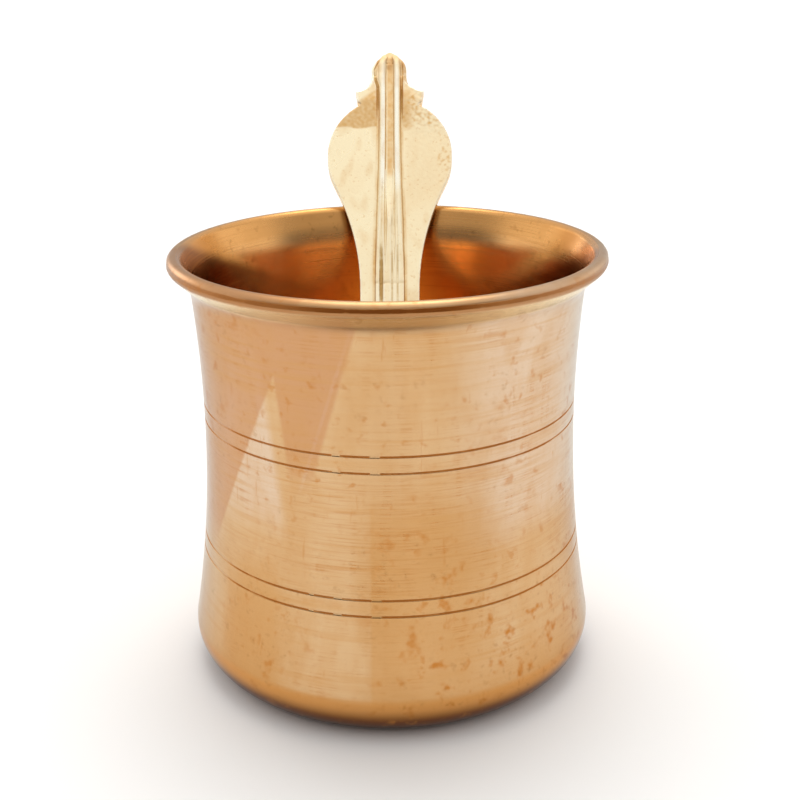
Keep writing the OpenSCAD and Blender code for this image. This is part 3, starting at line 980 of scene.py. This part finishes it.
def polished_copper():
    """Copper for the outside of the cup."""
    material, tree, shader = new_metal("polished copper")
    turned_on_lathe(shader, 0.5)
    put(tree, COPPER_EDGE, shader.inputs["Specular Tint"])
    rings = placed(tree, lathe_lines, Lines_per_mm=4.0, Strokes_per_metre=110.0, Fading=0.6)
    bands = placed(tree, lathe_lines, Lines_per_mm=0.9, Strokes_per_metre=35.0, Fading=0.5)["Strong"]
    film = placed(tree, haze, Per_metre=45.0)["Mask"]
    mottle = placed(tree, haze, Per_metre=150.0)["Mask"]
    spots = placed(tree, specks, Per_metre=900.0, Amount=0.5)["Mask"]
    stains = placed(tree, specks, Per_metre=380.0, Amount=1.2)["Mask"]
    smudges = placed(tree, specks, Per_metre=620.0, Amount=0.8)["Mask"]
    strokes = placed(tree, scratches, Per_metre=900.0, Slant=0.6, Limit=0.66)["Mask"]
    columns = placed(tree, scratches, Per_metre=420.0, Slant=0.06, Limit=0.53)["Mask"]
    dirt = placed(tree, crevice_dirt_and_shade, Start=0.01, Full=0.45)["Mask"]
    # Dirt in the engraving with painted highlight gaps, and painted shade on the roll's front line.
    groove_dirt_and_rim_shade = spared(tree, dirt, LINE_HIGHLIGHT_GAPS, 1.0)
    groove_dirt_and_rim_shade = spared(tree, groove_dirt_and_rim_shade, RIM_SHADE_FADES, 0.5)
    height = height_of(tree)
    ringed = times(tree, ramp(tree, height, *RINGS_ABOVE), ramp(tree, height, *RINGS_BELOW))
    flare = times(tree, ramp(tree, height, *FLARE_REFLECTION_ABOVE), ramp(tree, height, *FLARE_REFLECTION_BELOW))
    rolled = ramp(tree, height, *ROLLED_ABOVE)
    # The film and painted shade on the roll stop below its top.
    under_roll_top = total(tree, 1.0, (ramp(tree, height, *ROLL_TOP_ABOVE), -0.7))
    golden = times(tree, film, total(tree, 0.3, (ramp(tree, height, *GOLDEN_BELOW), 0.5)))
    streak = times(tree, rings["Strong"], total(tree, 0.12, (ringed, 0.22), (columns, 0.3)))
    tint = layered(
        tree,
        COPPER_PALE,
        (COPPER_GOLD, golden, 1.0),
        # Painted reflections of the room in front, patches of tone round the back.
        (COPPER_PALEST, widest(tree, PALE_REFLECTIONS), 0.85),
        (COPPER_GOLD, widest(tree, GOLD_REFLECTIONS), 0.65),
        (COPPER_PINK, widest(tree, PINK_REFLECTIONS), 0.8),
        (COPPER_GOLD, bands, 0.5),
        (COPPER_GOLD, mottle, 0.3),
        (COPPER_ORANGE, streak, 1.0),
        # Painted shade at the foot: orange, then brown.
        (FOOT_SHADE_ORANGE, ramp(tree, height, *ORANGE_SHADE_BELOW), 0.9),
        (FOOT_SHADE_BROWN, ramp(tree, height, *BROWN_SHADE_BELOW), 0.92),
        # Painted reflection of the white floor under the roll.
        (FLARE_REFLECTION, flare, 0.95),
        # Brown film and painted shade on the roll.
        (RIM_FILM_AND_SHADE, times(tree, rolled, under_roll_top), 0.85),
        (COPPER_ORANGE, stains, 0.85),
        (COPPER_ORANGE, smudges, 0.7),
        (SPECK_BROWN, spots, 0.6),
        (COPPER_ORANGE, strokes, 0.32),
        (LINE_BROWN, groove_dirt_and_rim_shade, 0.85),
        # Painted shade of the dark line along the roll's front.
        (RIM_LINE_SHADE, times(tree, groove_dirt_and_rim_shade, rolled), 0.9),
    )
    worn = ((film, 0.08), (spots, 0.08), (groove_dirt_and_rim_shade, 0.6), (streak, 0.12), (rolled, 0.16))
    dress(tree, shader, tint, total(tree, 0.16, *worn), rings["Height"], LATHE_DEPTH)
    return material


cup.data.materials.append(polished_copper())
print("outside:", cup.data.materials[0].name)

# %% [markdown]
# ### The inside of the cup
#
# The inside sees mostly itself: each reflection multiplies the copper's colour once more, which makes it
# orange and then red towards the floor. The renderer does that part by itself, so the metal is kept clean
# here. Only the flare of the mouth, which hands and lips touch, has a golden film, and its two ends are
# darkened with painted shade. The turning marks are coarser, since the inside is left as it came from the
# tool.

# %% Turned copper
INSIDE_CLEAN = (0.95, 0.57, 0.25)
INSIDE_FILM = (0.88, 0.47, 0.15)
MOUTH_FILM = (0.68, 0.33, 0.10)
# Painted shade at both ends of the mouth.
MOUTH_END_SHADE = (0.20, 0.06, 0.012)
MOUTH_ABOVE = (0.0690, 0.0735)
SHADED_MOUTH_ENDS = (
    (94, 7, 0, -4, 71, 3.2, 10, 9),
    (-102, 8, 0, 4, 71, 2.4, 10, 10),
)


def turned_copper():
    """Copper for the inside of the cup."""
    material, tree, shader = new_metal("turned copper")
    turned_on_lathe(shader, 0.6)
    rings = placed(tree, lathe_lines, Lines_per_mm=2.5, Strokes_per_metre=50.0, Fading=0.5)
    film = placed(tree, haze, Per_metre=60.0)["Mask"]
    spots = placed(tree, specks, Per_metre=700.0, Amount=0.8)["Mask"]
    stains = placed(tree, specks, Per_metre=260.0, Amount=0.9)["Mask"]
    mouth = ramp(tree, height_of(tree), *MOUTH_ABOVE)
    tint = layered(
        tree,
        INSIDE_CLEAN,
        (INSIDE_FILM, film, 0.5),
        (MOUTH_FILM, mouth, 0.85),
        # Painted shade at both ends of the mouth.
        (MOUTH_END_SHADE, widest(tree, SHADED_MOUTH_ENDS), 0.75),
        (MOUTH_FILM, rings["Strong"], 0.4),
        (SPECK_BROWN, stains, 0.35),
        (SPECK_BROWN, spots, 0.6),
    )
    rough = total(tree, 0.17, (film, 0.07), (rings["Strong"], 0.07), (mouth, 0.08))
    dress(tree, shader, tint, rough, rings["Height"], LATHE_DEPTH)
    return material


cup.data.materials.append(turned_copper())
print("inside:", cup.data.materials[1].name)

# %% [markdown]
# ### Brass and wire
#
# The handle is yellow brass with a lot of zinc, so it is nearly cream where it is polished. The hollows
# beside the rib are darker brown, partly dirt and partly painted shade, the ridges are lighter, partly
# rubbed bright and partly painted highlight, and the print of the sand shows on the hood.
# The bowl is sheet brass, a little redder. The wire inside the rim is iron, dull and grey-brown.

# %% Cast brass, sheet brass and iron
BRASS_PALE = (0.94, 0.81, 0.55)
BRASS_SHEET = (0.86, 0.66, 0.36)
BRASS_RIVET = (0.88, 0.70, 0.41)
BRASS_FILM_AND_SHADE = (0.70, 0.42, 0.16)
BRASS_DIRT_AND_SHADE = (0.50, 0.29, 0.075)
BRASS_WEAR_AND_HIGHLIGHT = (0.98, 0.94, 0.81)
UNPOLISHED_ABOVE = (0.0990, 0.1012)
IRON_GREY = (0.30, 0.28, 0.26)
IRON_FILM = (0.17, 0.12, 0.09)
IRON_RUST = (0.16, 0.06, 0.025)


def brass(name, clean, film_share, sand_depth, sand_scale, rough_base):
    """Brass with tan film and painted shade, sand print, ridges lightened by wear and painted highlight,
    and hollows darkened by dirt and painted shade.
    """
    material, tree, shader = new_metal(name)
    film = placed(tree, haze, Per_metre=90.0)["Mask"]
    sand = placed(tree, grain, Per_metre=sand_scale)
    dirt = placed(tree, crevice_dirt_and_shade, Start=0.12, Full=0.75)["Mask"]
    ridge_wear_and_highlight = node(tree, "Attribute", attribute_name="ridge_wear_and_highlight").outputs["Fac"]
    kept_film_and_shade = node(tree, "Attribute", attribute_name="film").outputs["Fac"]
    tint = layered(
        tree,
        clean,
        (BRASS_FILM_AND_SHADE, film, film_share),
        (BRASS_FILM_AND_SHADE, sand["Pits"], 0.4),
        # Ridges lightened by polish wear and as painted highlight.
        (BRASS_WEAR_AND_HIGHLIGHT, ridge_wear_and_highlight, 0.9),
        # Tan film and painted shade from the weight called film.
        (BRASS_FILM_AND_SHADE, kept_film_and_shade, 1.0),
        # Dirt and painted shade in the hollows.
        (BRASS_DIRT_AND_SHADE, dirt, 0.85),
    )
    tip = ramp(tree, height_of(tree), *UNPOLISHED_ABOVE)
    worn = ((film, 0.08), (dirt, 0.25), (ridge_wear_and_highlight, -0.06), (kept_film_and_shade, 0.12), (tip, 0.35))
    dress(tree, shader, tint, total(tree, rough_base, *worn), sand["Height"], sand_depth)
    return material


def iron_wire():
    """Drawn iron wire with a brown film."""
    material, tree, shader = new_metal("iron wire")
    spots = placed(tree, specks, Per_metre=1500.0, Amount=1.0)["Mask"]
    film = placed(tree, haze, Per_metre=120.0)["Mask"]
    tint = layered(tree, IRON_GREY, (IRON_FILM, film, 0.7), (IRON_RUST, spots, 0.9))
    dress(tree, shader, tint, total(tree, 0.42, (spots, 0.35)), film, 0.00001)
    return material


handle.data.materials.append(brass("cast brass", BRASS_PALE, 0.14, 0.00004, 1500.0, 0.27))
bowl.data.materials.append(brass("raised brass", BRASS_SHEET, 0.35, 0.00001, 900.0, 0.24))
rivet_metal = brass("rivet brass", BRASS_RIVET, 0.3, 0.00002, 1600.0, 0.26)
for rivet in rivets:
    rivet.data.materials.append(rivet_metal)
wire_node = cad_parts["rim_wire"]
wire_node.data.materials.clear()
wire_node.data.materials.append(iron_wire())
print("metals:", [m.name for m in bpy.data.materials if m.users])

# %% [markdown]
# ## Joining the looks to the part
#
# Every new piece rides on the CAD body that it belongs to and stands for the CAD node that it was made
# from. The solid stays behind it for weight and touch, but only the dressed piece is drawn.

# %% Ride and replace
for piece, body, stands_for, slot_name in (
    (cup, "cup", "cup_shell", "copper_sheet"),
    (handle, "spoon", "spoon_handle", "cast_brass"),
    (bowl, "spoon", "spoon_bowl", "raised_brass"),
    (rivets[0], "spoon", "lower_rivet", "rivet_brass"),
    (rivets[1], "spoon", "upper_rivet", "rivet_brass"),
):
    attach(piece, body)
    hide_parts(stands_for)
    print(piece.name, "rides on", body)

# %% [markdown]
# ## The floor
#
# Polished copper shows its surroundings more than itself. The wall of the cup mirrors the floor in front
# of it, so a white floor makes it look pale. A curved backdrop is the studio's way, but a large flat floor
# is enough here, because the sky behind it is just as white.

# %% White floor
FLOOR_HALF = 6.0
FLOOR_WHITE = (0.93, 0.93, 0.93)


def white_floor():
    """A large matt floor that is not part of the object."""
    mesh = bpy.data.meshes.new("floor")
    corners = [(a * FLOOR_HALF, b * FLOOR_HALF, 0) for a, b in ((-1, -1), (1, -1), (1, 1), (-1, 1))]
    mesh.from_pydata(corners, [], [(0, 1, 2, 3)])
    floor = bpy.data.objects.new("floor", mesh)
    scene.collection.objects.link(floor)
    paper = bpy.data.materials.new("white paper")
    paper.use_nodes = True
    shader = paper.node_tree.nodes["Principled BSDF"]
    put(paper.node_tree, FLOOR_WHITE, shader.inputs["Base Color"])
    shader.inputs["Roughness"].default_value = 0.9
    mesh.materials.append(paper)
    return floor


floor = white_floor()
print("floor is", floor.dimensions.x, "m wide")

# %% [markdown]
# ## The light
#
# Lamps would show in the copper as hard shapes, so the light is one soft sky: a bright panel overhead, a
# soft box at each side for the golden highlights in the mouth, and not much light low down on the camera's
# side, which the back wall mirrors. Looked at directly, the sky is plain white, so that no horizon shows.

# %% Studio sky
SKY_ABOVE = 1.0
SKY_FRONT_LOW = 0.16
SKY_SIDE = 0.6
SKY_BACK = 0.7
SKY_TOP = 3.6
SIDE_BOXES = 0.6
LEFT_BOX_MORE = 2.0
TOP_LEANS_BACK = 20.0
SKY_SEEN = 1.1
SKY_COLOUR = (1.0, 0.99, 0.97)


def studio_sky():
    """A soft sky with a panel on top and a box at each side."""
    world = bpy.data.worlds.new("studio sky")
    world.use_nodes = True
    tree = world.node_tree
    x, y, z = split(tree, node(tree, "TexCoord").outputs["Generated"])
    above = ramp(tree, z, 0.3, 0.75)
    low = total(tree, SKY_FRONT_LOW, (ramp(tree, y, -0.6, -0.1), SKY_SIDE - SKY_FRONT_LOW))
    low = total(tree, low, (ramp(tree, y, 0.1, 0.6), SKY_BACK - SKY_SIDE))
    below = times(tree, low, math_node(tree, "SUBTRACT", 1.0, above))
    aside = math_node(tree, "ABSOLUTE", x)
    sideways = times(tree, ramp(tree, aside, 0.42, 0.58), ramp(tree, y, -0.4, -0.1))
    low_box = times(tree, ramp(tree, z, 0.04, 0.14), ramp(tree, z, 0.5, 0.35))
    left_back = times(tree, ramp(tree, x, -0.4, -0.55), ramp(tree, aside, 0.86, 0.7))
    box_light = total(tree, SIDE_BOXES, (left_back, LEFT_BOX_MORE))
    boxes = times(tree, sideways, low_box, box_light)
    lean = math.radians(TOP_LEANS_BACK)
    overhead = total(tree, (z, math.cos(lean)), (y, math.sin(lean)))
    panel = ramp(tree, overhead, 0.92, 0.98)
    light = total(tree, below, (above, SKY_ABOVE), boxes, (panel, SKY_TOP))
    seen = node(tree, "LightPath").outputs["Is Camera Ray"]
    unseen = math_node(tree, "SUBTRACT", 1.0, seen)
    sky = tree.nodes["Background"]
    put(tree, total(tree, (light, unseen), (seen, SKY_SEEN)), sky.inputs["Strength"])
    put(tree, SKY_COLOUR, sky.inputs["Color"])
    scene.world = world


studio_sky()
scene.view_settings.view_transform = "Standard"
print("sky strength above:", SKY_ABOVE)

# %% [markdown]
# ## Camera
#
# The picture was taken from a little above, close to the cup. The focal length and place come from the
# cup's own ellipses: the rim and the base are both circles, and the way in which their ellipses differ
# tells how near the camera stands. A small lens shift keeps the cup where it is in the frame.

# %% Place the camera
CAMERA_BACK = 214.083
CAMERA_UP = 124.475
CAMERA_DOWN = 22.866
CAMERA_ROUND = 1.1
CAMERA_ROLL = 0.74

lens = bpy.data.cameras.new("camera")
lens.sensor_width = 36.0
lens.lens = 56.89
lens.shift_x = 0.0124
lens.shift_y = 0.091
lens.clip_start = 0.01
camera = bpy.data.objects.new("camera", lens)
scene.collection.objects.link(camera)
turn_round = Matrix.Rotation(math.radians(CAMERA_ROUND), 4, "Z")
step_back = Matrix.Translation(Vector((0.0, -CAMERA_BACK, CAMERA_UP)) * MM)
look_down = Matrix.Rotation(math.radians(90 - CAMERA_DOWN), 4, "X")
roll_camera = Matrix.Rotation(math.radians(-CAMERA_ROLL), 4, "Z")
camera.matrix_world = turn_round @ step_back @ look_down @ roll_camera
scene.camera = camera
print("camera stands", round(math.hypot(CAMERA_BACK, CAMERA_UP)), "mm from the cup's base")
